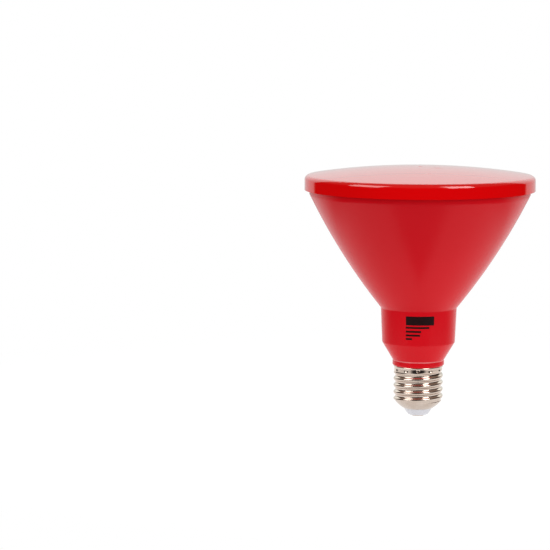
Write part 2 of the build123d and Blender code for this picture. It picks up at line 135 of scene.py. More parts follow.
# %% Outlines
def rounded(*corners, steps=10):
    """An outline in mm from corners (radius, height, fillet). A fillet's arc touches both sides of its
    corner: it starts at fillet / tan(half the corner's angle) from it, with its centre on the bisector."""
    runs = []
    points = np.array([corner[:2] for corner in corners], float)
    for i, corner in enumerate(corners):
        fillet = corner[2] if len(corner) > 2 else 0
        if not fillet:
            runs.append(points[i:i + 1])
            continue
        before = points[i - 1] - points[i]
        after = points[(i + 1) % len(points)] - points[i]
        before, after = before / np.linalg.norm(before), after / np.linalg.norm(after)
        half = np.arccos(np.clip(before @ after, -1, 1)) / 2
        bisector = (before + after) / np.linalg.norm(before + after)
        centre = points[i] + bisector * fillet / np.sin(half)
        start = points[i] + before * fillet / np.tan(half) - centre
        end = points[i] + after * fillet / np.tan(half) - centre
        turn = np.arctan2(start[0] * end[1] - start[1] * end[0], start @ end)
        angle = np.linspace(0, turn, steps)[:, None]
        across = np.array([-start[1], start[0]])
        runs.append(centre + np.cos(angle) * start + np.sin(angle) * across)
    return np.vstack(runs)


def arc_through(start, end, radius, steps=48):
    """Points in mm, without the two ends, of the arc from start to end that bulges to the right of that way:
    centre - radius cos(angle) to the left + radius sin(angle) along the chord."""
    start, end = np.array(start, float), np.array(end, float)
    chord = end - start
    length = np.linalg.norm(chord)
    left = np.array([-chord[1], chord[0]]) / length
    centre = (start + end) / 2 + left * np.sqrt(radius**2 - length**2 / 4)
    half = np.arcsin(length / 2 / radius)
    angle = np.linspace(-half, half, steps + 2)[1:-1, None]
    return centre - left * radius * np.cos(angle) + chord / length * radius * np.sin(angle)


print("one rounded corner makes", len(rounded((0, 0), (10, 0, 2), (10, 10))), "points with its neighbours")

# %% [markdown]
# A surface is a grid: so many rows of points along the outline, so many columns round the axis.
# A Spin or Screw modifier could turn an outline too, but then the poles and the seam need care.
# On a grid, closing the seam only means that the last column of faces uses the first column of points,
# and a pole is a row of points in one place, which are merged.

# %% Grids and meshes
MERGE_WITHIN = 1e-7  # in metres


def grid_faces(rows, columns, close_rows=False):
    """Quads of a grid whose last column joins the first, and whose last row does too if asked."""
    row = np.arange(rows if close_rows else rows - 1)[:, None]
    column = np.arange(columns)[None, :]
    here, over = row * columns, (row + 1) % rows * columns
    right = (column + 1) % columns
    return np.stack([here + column, here + right, over + right, over + column], axis=-1).reshape(-1, 4)


def gather(shells):
    """Joins several shells, each given as points and faces, by counting on the numbers of their points."""
    first = np.cumsum([0] + [len(points) for points, _ in shells[:-1]])
    faces = [corners + start for (_, corners), start in zip(shells, first)]
    return np.vstack([points for points, _ in shells]), np.vstack(faces)


def mesh_of(name, points, faces):
    """Puts points in mm and faces into a mesh, and merges the points that meet at poles."""
    mesh = bpy.data.meshes.new(name)
    mesh.from_pydata((points * MM).tolist(), [], faces.tolist())
    shape = bmesh.new()
    shape.from_mesh(mesh)
    bmesh.ops.remove_doubles(shape, verts=shape.verts, dist=MERGE_WITHIN)
    shape.to_mesh(mesh)
    shape.free()
    return mesh


def fused(mesh, shells):
    """The mesh with other closed shells fused to it, so that no face is left inside the material."""
    base = bpy.data.objects.new("base", mesh)
    added = bpy.data.objects.new("added", mesh_of("added", *gather(shells)))
    for thing in (base, added):
        bpy.context.scene.collection.objects.link(thing)
    union = base.modifiers.new("union", "BOOLEAN")
    union.operation, union.solver, union.use_self, union.object = "UNION", "EXACT", True, added
    result = bpy.data.meshes.new_from_object(base.evaluated_get(bpy.context.evaluated_depsgraph_get()))
    for thing in (base, added):
        bpy.data.objects.remove(thing)
    return result


print("a grid of 3 rows and 8 columns has", len(grid_faces(3, 8)), "faces")

# %% [markdown]
# A finished piece keeps its place in its mesh and its object at the origin, as the CAD nodes do.
# It rides on the lamp's one body and carries its finish. If it stands for a CAD node, it hides that node.

# %% Pieces
TINY = 1e-6  # stands in for zero where a length is compared or divided by


def add_piece(name, points, faces, material, slot, replaced=None, crease=40, added=None):
    """Makes a piece of points in mm and faces, and ties it to the lamp.
    Edges that are sharper than the crease, in degrees, stay sharp."""
    mesh = mesh_of(name, points, faces)
    if added:
        mesh = fused(mesh, added)
        mesh.name = name
    mesh.shade_smooth()
    mesh.set_sharp_from_angle(angle=radians(crease))
    mesh.materials.append(material)
    piece = bpy.data.objects.new(name, mesh)
    bpy.context.scene.collection.objects.link(piece)
    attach(piece, "root")
    if replaced:
        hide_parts(replaced)
    print(name, "has", len(mesh.polygons), "faces")


def turned(name, outline, material, slot, replaced, closed=False, columns=256, added=None):
    """Carries an outline round the axis: x = r cos a, y = r sin a, z = z. It runs counter-clockwise, with
    the axis on its left, so that the faces point outwards. Stretches along the axis make no faces."""
    angle = np.linspace(0, 2 * pi, columns, endpoint=False)
    r, z = outline[:, :1], outline[:, 1:]
    points = np.stack([r * np.cos(angle), r * np.sin(angle), z + 0 * angle], axis=-1).reshape(-1, 3)
    faces = grid_faces(len(outline), columns, closed)
    on_axis = np.hypot(points[faces, 0], points[faces, 1]).max(axis=1) < TINY
    add_piece(name, points, faces[~on_axis], material, slot, replaced, added=added)


print("pieces will replace some of:", ", ".join(sorted(nodes)))

# %% [markdown]
# The housing is one moulding in a red, glass-filled polyester. It came out of a finely etched mould,
# so it has a satin face: a broad, weak sheen in front and a pale veil where it is seen edge-on.
# The grain of a real etched face is about 0.1 mm, too fine for this picture, so it is drawn at 0.45 mm.
# Broad, faint clouds of colour keep the large cone from looking like flat paint.
# The mould parts where the taper meets the collar, and the fine edge there carries a painted highlight: a
# thin pale line in the colour.

# %% Finish: satin red moulding
COLLAR_TOP = 30.2
# the painted highlight at the parting line: its half width and reach in mm, and its strength
HIGHLIGHT_HALF, HIGHLIGHT_REACH, HIGHLIGHT_SHARE = 0.15, 0.35, 0.4


def satin_moulding():
    """Red polyester from an etched mould. Its painted highlight, a thin pale line, is strongest up to half
    its width from the parting line, and fades out at its reach."""
    material, tree, shader, place = new_material(
        "moulded polyester, satin red", {"IOR": 1.5, "Specular IOR Level": 0.16}
    )
    clouds = add_node(tree, "ShaderNodeTexNoise", {"Vector": place, "Scale": per_mm(26), "Detail": 4.0})
    grain = add_node(tree, "ShaderNodeTexNoise", {"Vector": place, "Scale": per_mm(0.45), "Detail": 2.0})
    red = add_node(tree, "ShaderNodeMix", [clouds, linear("#C60010"), linear("#CC0216")], data_type="RGBA")
    height = add_node(tree, "ShaderNodeSeparateXYZ", [place]).outputs["Z"]
    above = add_node(tree, "ShaderNodeMath", [height, COLLAR_TOP * MM], operation="SUBTRACT")
    away = add_node(tree, "ShaderNodeMath", [above], operation="ABSOLUTE")
    # Painted highlight: the colour turns pale pink along the edge where the taper meets the collar.
    painted_edge_highlight = add_node(
        tree, "ShaderNodeMapRange", [away, HIGHLIGHT_HALF * MM, HIGHLIGHT_REACH * MM, HIGHLIGHT_SHARE, 0.0]
    )
    red_and_highlight = add_node(tree, "ShaderNodeMix", [painted_edge_highlight, red, linear("#F4B0B4")], data_type="RGBA")
    feed(tree, shader, {"Base Color": red_and_highlight})
    drive(tree, shader, "Roughness", clouds, 0.25, 0.28)
    raise_grain(tree, shader, grain, 0.02, 0.35)
    return material


housing_finish = satin_moulding()
print("finish:", housing_finish.name)

# %% [markdown]
# The housing's outline runs from the spigot hidden in the screw shell up to the lip under the lens.
# The cone isn't straight: its side is an arc of 320 mm radius that bulges outwards a little.
# A Solidify modifier could thicken one skin, but the spigot, the drum and the lip differ inside and
# outside, so the outline is closed: up the outside, over the lip and down the inside.

# %% Housing outline
COLLAR_R, DRUM_LOW_R, DRUM_TOP_R, MOUTH_R = 13.75, 19.35, 20.17, 58.4
SHELL_TOP, DRUM_LOW, DRUM_TOP, CONE_TOP, RIM = 27.2, 39.8, 58.15, 118.6, 126.8
SPIGOT_R, SPIGOT_END, SPIGOT_BAND_R, SPIGOT_BAND = 11.8, 10.0, 12.4, 2.4
COLLAR_BEVEL, PARTING_STEP, PARTING_DROP = 0.6, 0.15, 0.4
WALL, SPIGOT_WALL, INNER_RISE, CONE_R = 2.0, 1.8, 1.0, 320.0
BEVEL_FILLET, COLLAR_FILLET, DRUM_FOOT_FILLET, DRUM_EDGE_FILLET = 0.2, 0.3, 1.5, 0.5
LIP_FILLET, LIP_INNER_FILLET = 0.5, 0.3
CONE_RUN, CONE_RISE = 7.0, 8.0  # towards a point up the cone, the second side of the drum's edge fillet

drum_inside = (DRUM_TOP_R - WALL, DRUM_TOP + INNER_RISE)
mouth_inside = (MOUTH_R - WALL, CONE_TOP)
cone_outside = arc_through((DRUM_TOP_R, DRUM_TOP), (MOUTH_R, CONE_TOP), CONE_R)
cone_inside = arc_through(drum_inside, mouth_inside, CONE_R - WALL)
up_the_cone = (DRUM_TOP_R + CONE_RUN, DRUM_TOP + CONE_RISE)
spigot_to_drum = rounded(
    (SPIGOT_R, SPIGOT_END),
    (SPIGOT_R, SHELL_TOP - SPIGOT_BAND),
    (SPIGOT_BAND_R, SHELL_TOP - SPIGOT_BAND),
    (SPIGOT_BAND_R, SHELL_TOP),
    (COLLAR_R - COLLAR_BEVEL, SHELL_TOP, BEVEL_FILLET),
    (COLLAR_R, SHELL_TOP + COLLAR_BEVEL, COLLAR_FILLET),
    (COLLAR_R, COLLAR_TOP - PARTING_DROP, COLLAR_FILLET),
    (COLLAR_R - PARTING_STEP, COLLAR_TOP),
    (DRUM_LOW_R, DRUM_LOW, DRUM_FOOT_FILLET),
    (DRUM_TOP_R, DRUM_TOP, DRUM_EDGE_FILLET),
    up_the_cone,
)[:-1]
lip = rounded(
    (MOUTH_R, CONE_TOP), (MOUTH_R, RIM, LIP_FILLET), (MOUTH_R - WALL, RIM, LIP_INNER_FILLET), mouth_inside
)
drum_bore = [drum_inside, (DRUM_LOW_R - WALL, DRUM_LOW)]
spigot_bore = [(SPIGOT_R - SPIGOT_WALL, COLLAR_TOP), (SPIGOT_R - SPIGOT_WALL, SPIGOT_END)]
housing_outline = np.vstack([spigot_to_drum, cone_outside, lip, cone_inside[::-1], drum_bore, spigot_bore])
print("housing outline:", len(housing_outline), "points")

# %% [markdown]
# Inside, three posts with pilot holes take the light board's screws. They stand on the curved wall of the
# cone, where their feet would be hard to work out as part of one mesh. So each is made as a closed shell
# that ends in the middle of the wall, and a Boolean fuses it with the wall.

# %% Posts
POSTS, POST_TURN, POST_RING, POST_R, POST_TOP = 3, 10.0, 24.0, 3.2, 94.0
PILOT_R, PILOT_END = 1.35, 83.3
mid_wall = (cone_outside + cone_inside) / 2


def post(turn, columns=48):
    """Rings of radius r and height z round the post's own axis: x = ring cos(turn) + r cos a, y likewise.
    The two lowest follow the middle of the cone's wall."""
    a = np.linspace(0, 2 * pi, columns, endpoint=False)[None, :]
    r = np.array([0, POST_R, POST_R, PILOT_R, PILOT_R, 0])[:, None]
    x = POST_RING * cos(radians(turn)) + r * np.cos(a)
    y = POST_RING * sin(radians(turn)) + r * np.sin(a)
    z = np.array([0, 0, POST_TOP, POST_TOP, PILOT_END, PILOT_END])[:, None] + 0 * a
    z[:2] = np.interp(np.hypot(x, y)[:2], mid_wall[:, 0], mid_wall[:, 1])
    return np.stack([x, y, z], axis=-1).reshape(-1, 3), grid_faces(len(r), columns)


posts = [post(POST_TURN + 360 / POSTS * i) for i in range(POSTS)]
print("posts:", len(posts), "with", len(posts[0][1]), "faces each")

# %% [markdown]
# Two grooved rails inside the drum hold the driver board. Their grooves could be cut out of blocks, but
# bars that overlap need no cut: two cheeks, the web behind the groove and a foot that closes it below.
# The Boolean that fuses the posts with the wall takes the bars too.

# %% Rails, and the whole housing
RAIL_FACE, RAIL_ROOT, RAIL_HALF, RAIL_END = 14.35, 18.8, 2.5, 40.1
GROOVE_ROOT, GROOVE_HALF, GROOVE_END, OVERLAP = 16.85, 1.0, 41.3, 0.5


def bar(x, y, z):
    """A box between two values of x, of y and of z: its eight corners are all the choices of one of each."""
    corners = np.stack(np.meshgrid(x, y, z, indexing="ij"), axis=-1).reshape(-1, 3).astype(float)
    sides = [(0, 1, 3, 2), (4, 6, 7, 5), (0, 4, 5, 1), (2, 3, 7, 6), (0, 2, 6, 4), (1, 5, 7, 3)]
    return corners, np.array(sides)


def rail(side):
    """One grooved rail on the side 1 or -1 along x, from its face near the axis to its root in the wall."""
    tall = (RAIL_END, DRUM_TOP)
    body = sorted((side * RAIL_FACE, side * RAIL_ROOT))
    web = sorted((side * GROOVE_ROOT, side * RAIL_ROOT))
    between = (-GROOVE_HALF - OVERLAP, GROOVE_HALF + OVERLAP)
    return [
        bar(body, (GROOVE_HALF, RAIL_HALF), tall),
        bar(body, (-RAIL_HALF, -GROOVE_HALF), tall),
        bar(web, between, tall),
        bar(body, between, (RAIL_END, GROOVE_END)),
    ]


turned(
    "housing_moulding", housing_outline, housing_finish, "red_satin_plastic", "housing",
    closed=True, added=posts + rail(1) + rail(-1),
)

# %% [markdown]
# The lens is moulded in clear acrylic that is tinted red all through, with a polished outer face.
# A polished face needs a low roughness: seen edge-on, as the camera sees the dome, it mirrors the white
# backdrop, and seen square on, as at the rim, it shows the deep red. That is plain Fresnel, so the shader
# does it alone. A very shallow, wide waviness stands for the slight shrinkage of the moulding.
# Near the middle of the dome the polish is rubbed in two faint marks, which mirror the room less sharply.

# %% Finish: polished red acrylic
RUB_MARKS = [(9.0, -8.0, 5.0, 3.0, 1.0), (5.0, -32.0, 4.0, 3.0, 0.6)]


def rub_marks(tree, place):
    """A pattern that is 0 on the polish and rises to each mark's weight at its middle. A mark is an ellipse
    with a middle x, y and half sizes along x and y in mm, and it fades evenly towards its edge."""
    strongest = 0.0
    for x, y, half_x, half_y, weight in RUB_MARKS:
        away = add_node(tree, "ShaderNodeVectorMath", [place, (x * MM, y * MM, 0.0)], operation="SUBTRACT")
        halves = (per_mm(half_x), per_mm(half_y), 0.0)
        shares = add_node(tree, "ShaderNodeVectorMath", [away, halves], operation="MULTIPLY")
        reach = add_node(tree, "ShaderNodeVectorMath", [shares], operation="LENGTH")
        mark = add_node(tree, "ShaderNodeMapRange", [reach, 0.0, 1.0, weight, 0.0])
        strongest = add_node(tree, "ShaderNodeMath", [mark, strongest], operation="MAXIMUM")
    return strongest


def polished_acrylic():
    """Tinted acrylic with a polished face."""
    material, tree, shader, place = new_material(
        "polished acrylic, tinted red", {"IOR": 1.49, "Specular IOR Level": 0.8}
    )
    clouds = add_node(tree, "ShaderNodeTexNoise", {"Vector": place, "Scale": per_mm(40), "Detail": 2.0})
    waves = add_node(tree, "ShaderNodeTexNoise", {"Vector": place, "Scale": per_mm(14), "Detail": 1.0})
    drive(tree, shader, "Base Color", clouds, "#DC0003", "#E60006")
    drive(tree, shader, "Roughness", rub_marks(tree, place), 0.04, 0.3)
    raise_grain(tree, shader, waves, 0.01, 0.06)
    return material


lens_finish = polished_acrylic()
print("finish:", lens_finish.name)

# %% [markdown]
# The lens is a shallow dome with a soft edge and a straight skirt that slides over the housing's lip.
# It could be cut from a large sphere, but a circle's formula gives the dome directly, for any inset.
# The moulding gate left a small mark on the very top: a round dimple, 0.4 mm deep.

# %% Lens
LENS_R, LENS_EDGE, APEX, LENS_WALL = 61.0, 128.3, 133.13, 2.0
SKIRT_R, SKIRT_END, SKIRT_BEVEL, SKIRT_BEVEL_RISE = 58.6, 120.75, 0.3, 0.4
EDGE_FILLET, EDGE_RUN, SEAT_INSET = 2.5, 6.0, 2.5
GATE_DEPTH, GATE_WIDTH = 0.4, 0.9
CROWN_ROWS, SEAT_ROWS = 110, 40
DOME_R = (LENS_R**2 + (APEX - LENS_EDGE)**2) / (2 * (APEX - LENS_EDGE))


def dome(distance, inset=0.0):
    """Height of the dome at a distance from the axis, on a circle whose radius is less by the inset."""
    return APEX - DOME_R + np.sqrt((DOME_R - inset)**2 - np.asarray(distance)**2)


def gate_mark(distance):
    """Depth of the gate's dimple, which fades outwards as a bell curve: exp(-(distance / width)^2)."""
    return GATE_DEPTH * np.exp(-(distance / GATE_WIDTH)**2)


edge_start, seat_r = LENS_R - EDGE_RUN, MOUTH_R - SEAT_INSET
crown_run = np.linspace(edge_start, 0, CROWN_ROWS)
seat_run = np.linspace(0, seat_r, SEAT_ROWS)
skirt = rounded(
    (SKIRT_R + SKIRT_BEVEL, SKIRT_END),
    (LENS_R, SKIRT_END),
    (LENS_R, LENS_EDGE, EDGE_FILLET),
    (edge_start, float(dome(edge_start))),
    steps=18,
)[:-1]
crown = np.stack([crown_run, dome(crown_run) - gate_mark(crown_run)], axis=1)
underside = np.stack([seat_run, dome(seat_run, LENS_WALL)], axis=1)
lip_seat = [(seat_r, RIM), (SKIRT_R, RIM), (SKIRT_R, SKIRT_END + SKIRT_BEVEL_RISE)]
lens_outline = np.vstack([skirt, crown, underside, lip_seat])
turned("lens_dome", lens_outline, lens_finish, "red_tinted_lens", "diffuser_lens", closed=True)

# %% [markdown]
# The screw shell is thin brass sheet, rolled and then nickel-plated. Nickel is a warm, slightly yellow
# grey, and as a metal it has almost no colour of its own beyond what it mirrors, so most of its look comes
# from the room: white paper and softboxes, the dark side of the studio and the red housing above it.
# Rolling leaves fine lines round the shell, drawn here 0.3 mm apart, and handling dulls it in patches.

# %% Finish: nickel plate
def nickel_plate():
    """Bright nickel on rolled sheet. Its noise is stretched sideways, which turns the specks to lines."""
    material, tree, shader, place = new_material("nickel plate on rolled sheet", {"Metallic": 1.0})
    sideways = add_node(tree, "ShaderNodeMapping", {"Vector": place, "Scale": (0.04, 0.04, 1.0)})
    lines = add_node(tree, "ShaderNodeTexNoise", {"Vector": sideways, "Scale": per_mm(0.3), "Detail": 3.0})
    patches = add_node(tree, "ShaderNodeTexNoise", {"Vector": place, "Scale": per_mm(5), "Detail": 4.0})
    drive(tree, shader, "Base Color", patches, "#BCA798", "#D8CABF")
    drive(tree, shader, "Roughness", patches, 0.11, 0.18)
    raise_grain(tree, shader, lines, 0.004, 0.2)
    return material


nickel_finish = nickel_plate()
print("finish:", nickel_finish.name)

# %% [markdown]
# A rolled thread is a wave in the sheet. Cutting a groove with a helix and a Boolean gives hard ends,
# while a formula can let the groove run out softly, as the rolling die leaves it.
# The surface is a grid of heights and angles, and its radius is worked out for every grid point at once:
# the crest line, less the groove, less the dimples of the crimp, plus a bead at the upper edge.

# %% Screw shell: its radius
PITCH, CREST_R, BAND_R, THREAD_DEPTH, RIDGE_START = 3.629, 13.2, 12.9, 0.9, 3.6
RUN_OUT_START, RUN_OUT_END = 4.8, 5.3  # in turns climbed
BAND_START, BAND_FULL = 22.9, 24.2
DIMPLES, DIMPLE_Z, DIMPLE_R, DIMPLE_DEPTH, DIMPLE_POWER = 12, 25.6, 1.1, 0.34, 0.9
BEAD_RISE, BEAD_BELOW, BEAD_WIDTH = 0.2, 0.4, 0.3


def ease(low, high, value):
    """Rises smoothly from 0 at low to 1 at high: 3 t squared less 2 t cubed."""
    t = np.clip((value - low) / (high - low), 0, 1)
    return t * t * (3 - 2 * t)


def groove(angle, height):
    """Depth of the round thread, from 0 on a crest to 1 at a root. Two equal arcs meet a quarter pitch from
    the crest, and the second mirrors the first. The last turn's groove fades as it climbs into the band."""
    turns = (height - RIDGE_START) / PITCH - angle / (2 * pi)
    offset = np.abs(turns - np.round(turns)) * PITCH
    quarter = PITCH / 4
    arc = (quarter**2 + (THREAD_DEPTH / 2)**2) / THREAD_DEPTH
    near = np.minimum(offset, 2 * quarter - offset)
    drop = (arc - np.sqrt(arc**2 - near**2)) / THREAD_DEPTH
    depth = np.where(offset < quarter, drop, 1 - drop)
    climbed = np.floor(turns) + angle / (2 * pi)
    return depth * (1 - ease(RUN_OUT_START, RUN_OUT_END, climbed))


def shell_radius(angle, height):
    """Radius of the shell in mm at an angle and a height above the foot: crest - groove - dimple + bead."""
    crest = CREST_R - (CREST_R - BAND_R) * ease(BAND_START, BAND_FULL, height)
    wall = crest - THREAD_DEPTH * groove(angle, height)
    step = 2 * pi / DIMPLES
    aside = (np.mod(angle + pi / 2 + step / 2, step) - step / 2) * BAND_R
    dent = np.clip(1 - (aside**2 + (height - DIMPLE_Z)**2) / DIMPLE_R**2, 0, 1)
    bead = BEAD_RISE * np.exp(-((height - SHELL_TOP + BEAD_BELOW) / BEAD_WIDTH)**2)
    return wall - DIMPLE_DEPTH * dent**DIMPLE_POWER + bead


both_sides = np.round(shell_radius(np.array([0, pi]), 15.0), 2)
print("shell radius 15 mm up:", both_sides, "mm on the right and on the left")

# %% [markdown]
# The foot of the shell is an arc from its lip to the crest line, and where the thread would stand out of
# that arc the arc limits it. The inner face of the sheet lies 0.3 mm behind the outer one, square to its
# slope, and a third of the rows is enough there because it can't be seen.

# %% Screw shell: its grid
LIP_R, LIP_Z, FOOT_TOP, FOOT_R = 7.8, 4.2, 9.3, 16.0
SHELL_COLUMNS, SHEET, ROW_STEP, FIRST_STEP, FOOT_MARGIN, INNER_EVERY = 360, 0.3, 0.14, 0.13, 0.25, 3

around = np.linspace(0, 2 * pi, SHELL_COLUMNS, endpoint=False)[None, :]
foot_curve = arc_through((LIP_R, LIP_Z), (CREST_R, FOOT_TOP), FOOT_R, steps=60)
foot_arc = np.vstack([[(LIP_R, LIP_Z)], foot_curve])
foot_rows = foot_arc[foot_arc[:, 0] < CREST_R - THREAD_DEPTH - FOOT_MARGIN]
above_foot = np.arange(foot_rows[-1, 1] + FIRST_STEP, SHELL_TOP, ROW_STEP)
foot_limit = np.interp(above_foot, foot_arc[:, 1], foot_arc[:, 0], right=np.inf)
wound = np.minimum(shell_radius(around, above_foot[:, None]), foot_limit[:, None])
outer_r = np.vstack([foot_rows[:, :1] + 0 * around, wound])
outer_z = np.concatenate([foot_rows[:, 1], above_foot])[:, None]
slope = np.gradient(outer_r, outer_z[:, 0], axis=0)
lean = np.sqrt(1 + slope**2)
last_row = len(outer_z) - 1
inner_rows = np.unique(np.append(np.arange(0, last_row, INNER_EVERY), last_row))[::-1]
shell_r = np.vstack([outer_r, (outer_r - SHEET / lean)[inner_rows]])
shell_z = np.vstack([outer_z + 0 * around, (outer_z + SHEET * slope / lean)[inner_rows]])
shell_grid = np.stack([shell_r * np.cos(around), shell_r * np.sin(around), shell_z], axis=-1)
shell_faces = grid_faces(len(shell_z), SHELL_COLUMNS, close_rows=True)
add_piece(
    "screw_cap_shell", shell_grid.reshape(-1, 3), shell_faces, nickel_finish, "nickel_plate", "screw_shell",
    crease=60,
)

# %% [markdown]
# Below the shell sits the insulator, a pale grey thermoset moulding with a rounded end, and in its middle
# the contact, a small plated button with a shank. Both are turned like the housing, and the contact's
# outline starts and ends on the axis, so that it is solid.

# %% Insulator and contact
CONTACT_R, CONTACT_TOP, SHANK_R, SHANK_END = 3.4, 0.6, 1.5, 7.53
BORE_R, NOSE_R, NOSE_FILLET, NECK_R, FLANGE_R = 1.6, 5.2, 1.6, 7.6, 9.2
FLANGE_LOW, FLANGE_TOP = 5.73, 6.93
NECK_FILLET, BUTTON_FILLET, BUTTON_TOP_FILLET = 0.3, 0.3, 0.1


def pale_moulding():
    """Smooth pale grey thermoset, a little uneven in tone."""
    material, tree, shader, place = new_material(
        "moulded thermoset, pale grey", {"IOR": 1.5, "Specular IOR Level": 0.4}
    )
    clouds = add_node(tree, "ShaderNodeTexNoise", {"Vector": place, "Scale": per_mm(3), "Detail": 3.0})
    grain = add_node(tree, "ShaderNodeTexNoise", {"Vector": place, "Scale": per_mm(0.3), "Detail": 2.0})
    drive(tree, shader, "Base Color", clouds, "#C0C0C6", "#CACAD0")
    drive(tree, shader, "Roughness", clouds, 0.34, 0.44)
    raise_grain(tree, shader, grain, 0.01, 0.3)
    return material


insulator_outline = rounded(
    (BORE_R, CONTACT_TOP),
    (NOSE_R, CONTACT_TOP, NOSE_FILLET),
    (NECK_R, LIP_Z, NECK_FILLET),
    (NECK_R, FLANGE_LOW),
    (FLANGE_R, FLANGE_LOW),
    (FLANGE_R, FLANGE_TOP),
    (BORE_R, FLANGE_TOP),
)
contact_outline = rounded(
    (0, 0),
    (CONTACT_R, 0, BUTTON_FILLET),
    (CONTACT_R, CONTACT_TOP, BUTTON_TOP_FILLET),
    (SHANK_R, CONTACT_TOP),
    (SHANK_R, SHANK_END),
    (0, SHANK_END),
)
turned(
    "cap_insulator_moulding", insulator_outline, pale_moulding(), "grey_insulator", "cap_insulator",
    closed=True,
)
turned("centre_contact_button", contact_outline, nickel_finish, "nickel_plate", "centre_contact")

# %% [markdown]
# The drum carries a small print in black ink: a solid block and, under it, short plain bars.
# Pad printing lays down a few hundredths of a millimetre of ink, so each shape is a thin curved plate, bent
# to the drum and only just proud of it. The ink is duller than the moulding and lets a little red through.

# %% Print on the drum
INK = 0.04
PRINTED = [  # left and right edge in degrees from the front, lower and upper edge in mm
    (-19.5, 24.0, 51.0, 55.7),
    (-19.8, 16.5, 49.2, 50.2),
    (-19.8, 4.0, 47.1, 48.1),
    (-19.8, 2.5, 45.1, 46.1),
    (-19.8, -10.0, 43.2, 44.2),
]


def printing_ink():
    """Black pad-printing ink on red plastic."""
    material, tree, shader, place = new_material(
        "pad-printing ink, black", {"IOR": 1.5, "Specular IOR Level": 0.12}
    )
    specks = add_node(tree, "ShaderNodeTexNoise", {"Vector": place, "Scale": per_mm(0.7), "Detail": 4.0})
    drive(tree, shader, "Base Color", specks, "#120708", "#2A0C0E")
    drive(tree, shader, "Roughness", specks, 0.45, 0.6)
    raise_grain(tree, shader, specks, 0.006, 0.3)
    return material


def bent_plate(left, right, low, high, across=20, up=5):
    """A closed plate on the drum between two angles and two heights, made of two grids, with the drum's
    radius going evenly from its lower to its upper edge. In front, the outermost grid lines lie a little
    inside the drum and the others stand proud by the ink's thickness. The grid at the back lies inside the
    drum altogether and shares those outermost lines."""
    a = np.radians(np.concatenate([[left], np.linspace(left, right, across), [right]]) - 90)[None, :]
    z = np.concatenate([[low], np.linspace(low, high, up), [high]])[:, None]
    lift = np.full((2, up + 2, across + 2), -INK)
    lift[0, 1:-1, 1:-1] = INK
    r = np.interp(z, [DRUM_LOW, DRUM_TOP], [DRUM_LOW_R, DRUM_TOP_R]) + lift
    points = np.stack([r * np.cos(a), r * np.sin(a), z + 0 * r], axis=-1).reshape(-1, 3)
    row, column = np.arange(up + 1)[:, None], np.arange(across + 1)[None, :]
    corner = row * (across + 2) + column
    front = np.stack([corner, corner + 1, corner + across + 3, corner + across + 2], axis=-1).reshape(-1, 4)
    back = front[:, ::-1] + (up + 2) * (across + 2)
    return points, np.vstack([front, back])


plates = [bent_plate(*shape) for shape in PRINTED]
add_piece("drum_print", *gather(plates), printing_ink(), "black_resin")

# %% [markdown]
# The inside of the lamp can't be seen while it is closed, but the model can be taken apart, so every inner
# node keeps its CAD shape and gets its own finish. They differ in colour, gloss and grain and not in how
# they are made, so one function makes them all from a short description.

# %% Inner pieces
CLOUD_GRAINS, GLOSS_DRIFT, GRAIN_FLATNESS, GRAIN_STRENGTH = 8, 0.05, 20, 0.3


def plain_finish(name, dark, light, roughness, grain_mm, metallic=0.0):
    """A finish whose colour drifts between two tones in clouds of a few grains, and whose grain is that many
    millimetres wide and flat."""
    material, tree, shader, place = new_material(name, {"Metallic": metallic})
    cloud_scale = per_mm(grain_mm * CLOUD_GRAINS)
    clouds = add_node(tree, "ShaderNodeTexNoise", {"Vector": place, "Scale": cloud_scale, "Detail": 3.0})
    grain = add_node(tree, "ShaderNodeTexNoise", {"Vector": place, "Scale": per_mm(grain_mm), "Detail": 2.0})
    drive(tree, shader, "Base Color", clouds, dark, light)
    drive(tree, shader, "Roughness", clouds, roughness - GLOSS_DRIFT, roughness + GLOSS_DRIFT)
    raise_grain(tree, shader, grain, grain_mm / GRAIN_FLATNESS, GRAIN_STRENGTH)
    return material


INNER_FINISHES = {
    ("heat_sink",): ("pressed aluminium", "#BFC2C5", "#D6D8DA", 0.35, 0.8, 1.0),
    ("led_board",): ("white solder mask", "#E4E4DE", "#F2F2EE", 0.3, 0.5),
    ("led_chips",): ("clear resin on a pale package", "#D8574A", "#E88070", 0.25, 0.3),
    ("board_screws",): ("zinc plate on steel", "#B4B4B8", "#CCCCD0", 0.3, 0.3, 1.0),
    ("driver_board",): ("green solder mask on glass fibre", "#12512A", "#1C6A38", 0.35, 0.6),
    ("transformer_core",): ("sintered ferrite", "#262628", "#343436", 0.7, 0.3),
    ("transformer_winding",): ("polyester tape", "#C9A21F", "#DDB836", 0.3, 0.8),
    ("input_capacitor", "output_capacitor"): ("shrunk sleeve, black", "#0E0E10", "#1C1C20", 0.3, 0.6),
    ("film_capacitor",): ("potting resin, ochre", "#A87A14", "#C0901E", 0.3, 0.6),
    ("fuse_resistor",): ("enamel, blue", "#4C7F9E", "#5F92B0", 0.3, 0.4),
    ("bridge_rectifier", "driver_chip"): ("moulded resin, black", "#0C0C0E", "#18181A", 0.5, 0.2),
    ("live_lead",): ("lead sleeve, brown", "#4A2A18", "#5C3620", 0.45, 0.4),
    ("neutral_lead",): ("lead sleeve, blue", "#1A3F98", "#244CAE", 0.45, 0.4),
    ("led_lead_positive",): ("lead sleeve, red", "#B01010", "#C41818", 0.45, 0.4),
    ("led_lead_negative",): ("lead sleeve, black", "#0D0D0D", "#1A1A1A", 0.45, 0.4),
}
for members, recipe in INNER_FINISHES.items():
    finish = plain_finish(*recipe)
    for member in members:
        slots = nodes[member].data.materials
        slots.clear()
        slots.append(finish)
print("inner finishes:", len(INNER_FINISHES))

# %% [markdown]
# The studio is a sheet of white paper with a white backdrop behind it and darkness all round. That darkness
# is what keeps the red deep: a polished face only shows its own colour where it has nothing bright to
# mirror. The paper could be one plain white, but then it would be grey under these lights and the metal
# would look flat. So it answers the camera, reflections and soft bounced light in three ways, which the
# Light Path node tells apart. All three depend on the place, which is measured from the lamp's axis.

